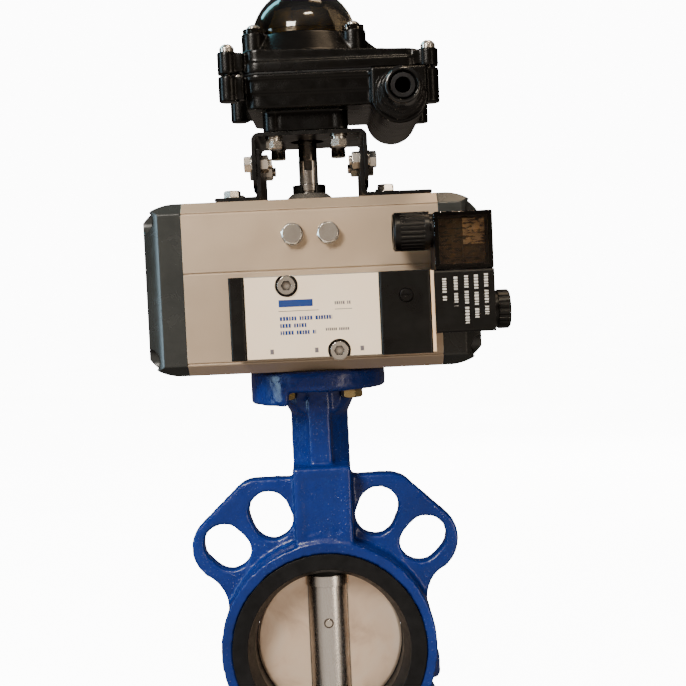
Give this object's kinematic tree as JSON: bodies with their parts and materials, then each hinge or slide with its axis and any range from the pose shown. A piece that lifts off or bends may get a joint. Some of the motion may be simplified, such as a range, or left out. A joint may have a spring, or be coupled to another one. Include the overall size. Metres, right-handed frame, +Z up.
{
  "type": "pneumatic actuated valve",
  "caption": "Wafer butterfly valve turned by a rack-and-pinion air actuator, with a pilot solenoid valve on its front and a domed limit-switch box above.",
  "frame": {"origin": "where the pipe axis meets the stem axis, at the middle of the wafer body", "axes": "+Z up the stem towards the actuator, +Y along the pipe away from the solenoid valve, +X towards the solenoid coil"},
  "size_m": [0.1829, 0.1195, 0.4382],
  "materials": {
    "blue_epoxy": "glossy blue epoxy over cast iron",
    "seat_rubber": "matt black EPDM",
    "seal_rubber": "matt black rubber",
    "polished_stainless": "polished stainless steel",
    "stainless": "bright stainless steel",
    "nickelled_steel": "nickel-plated steel",
    "black_steel": "phosphated black steel",
    "spring_steel": "drawn wire and strip",
    "yellow_zinc": "yellow-passivated zinc",
    "brass": "bright brass",
    "bush_plastic": "low-friction plastic",
    "anodised_grey": "hard-anodised extrusion",
    "cap_paint": "dark grey powder paint on cast aluminium",
    "cast_aluminium": "machined cast aluminium",
    "black_plastic": "moulded black plastic",
    "box_black": "satin black powder paint on die-cast aluminium",
    "black_powder_coat": "black powder-coated sheet steel",
    "label_silver": "printed silver plate",
    "smoky_clear": "smoke-tinted polycarbonate",
    "board_green": "circuit board and terminals",
    "indicator_yellow": "yellow moulded plastic",
    "cam_red": "red moulded plastic"
  },
  "bodies": {
    "housing": {"valve_body": "blue_epoxy", "seat_liner": "seat_rubber", "plain_bushes": "bush_plastic", "o_rings": "seal_rubber", "base_plug": "blue_epoxy", "flange_bolts": "yellow_zinc", "actuator_body": "anodised_grey", "end_cap_right": "cap_paint", "end_cap_left": "cap_paint", "cap_screws": "stainless", "stop_bolts": "stainless", "thrust_washer": "stainless", "solenoid_body": "cast_aluminium", "solenoid_cover": "black_plastic", "label_plate": "label_silver", "pilot_block": "black_plastic", "solenoid_screws": "stainless", "spool_spring": "spring_steel", "armature_tube": "stainless", "plunger_spring": "spring_steel", "coil": "black_plastic", "coil_yoke": "brass", "coil_nut": "black_plastic", "connector_housing": "black_plastic", "connector_cover": "smoky_clear", "connector_board": "board_green", "connector_gland": "black_plastic", "bracket_plate": "black_powder_coat", "bracket_leg_left": "black_powder_coat", "bracket_leg_right": "black_powder_coat", "bracket_bolts": "stainless", "box_bolts": "stainless", "switch_base": "box_black", "lid_gasket": "seal_rubber", "switch_lid": "box_black", "lid_bolts": "stainless", "dome": "smoky_clear", "microswitches": "black_plastic", "terminal_strip": "board_green", "cable_gland": "black_plastic", "gland_seals": "seal_rubber", "conduit_plug": "black_plastic"},
    "drive_line": {"disc": "polished_stainless", "stem": "stainless", "taper_pin": "stainless", "pinion": "nickelled_steel", "stop_cam": "nickelled_steel", "snap_ring": "black_steel", "switch_shaft": "stainless", "switch_cams": "cam_red", "indicator": "indicator_yellow"},
    "right_piston": {"piston_right": "cast_aluminium", "piston_rings_right": "bush_plastic"},
    "left_piston": {"piston_left": "cast_aluminium", "piston_rings_left": "bush_plastic"},
    "valve_spool": {"spool": "cast_aluminium"},
    "pilot_plunger": {"plunger": "stainless"},
    "manual_override": {"override_button": "black_plastic"},
    "lower_switch_lever": {"lever_lower": "spring_steel"},
    "upper_switch_lever": {"lever_upper": "spring_steel"}
  },
  "joints": [
    {"name": "stem_turn", "type": "hinge", "parent": "housing", "child": "drive_line", "pos_m": [0, 0, 0], "axis": [0, 0, 1], "range_deg": [0, 90]},
    {"name": "right_piston_slide", "type": "slide", "parent": "housing", "child": "right_piston", "axis": [1, 0, 0], "range_m": [0, 0.01966]},
    {"name": "left_piston_slide", "type": "slide", "parent": "housing", "child": "left_piston", "axis": [-1, 0, 0], "range_m": [0, 0.01966]},
    {"name": "spool_shift", "type": "slide", "parent": "housing", "child": "valve_spool", "axis": [-1, 0, 0], "range_m": [0, 0.004], "stiffness_N_per_m": 600, "springref_m": -0.002, "deforming": ["spool_spring"]},
    {"name": "plunger_lift", "type": "slide", "parent": "housing", "child": "pilot_plunger", "axis": [1, 0, 0], "range_m": [0, 0.0015], "stiffness_N_per_m": 500, "springref_m": -0.002, "deforming": ["plunger_spring"]},
    {"name": "override_press", "type": "slide", "parent": "housing", "child": "manual_override", "axis": [0, 1, 0], "range_m": [0, 0.002], "stiffness_N_per_m": 400, "springref_m": -0.002},
    {"name": "lower_lever_swing", "type": "hinge", "parent": "housing", "child": "lower_switch_lever", "pos_m": [-0.0095, 0.0164, 0.2935], "axis": [0, 0, 1], "range_deg": [0, 4], "stiffness_Nm_per_rad": 0.01, "springref_deg": -5.73},
    {"name": "upper_lever_swing", "type": "hinge", "parent": "housing", "child": "upper_switch_lever", "pos_m": [-0.0095, 0.0164, 0.302], "axis": [0, 0, 1], "range_deg": [0, 4], "stiffness_Nm_per_rad": 0.01, "springref_deg": -5.73}
  ],
  "couplings": [
    {"joint": "right_piston_slide", "follows": "stem_turn", "m_per_rad": 0.0125},
    {"joint": "left_piston_slide", "follows": "stem_turn", "m_per_rad": 0.0125}
  ]
}
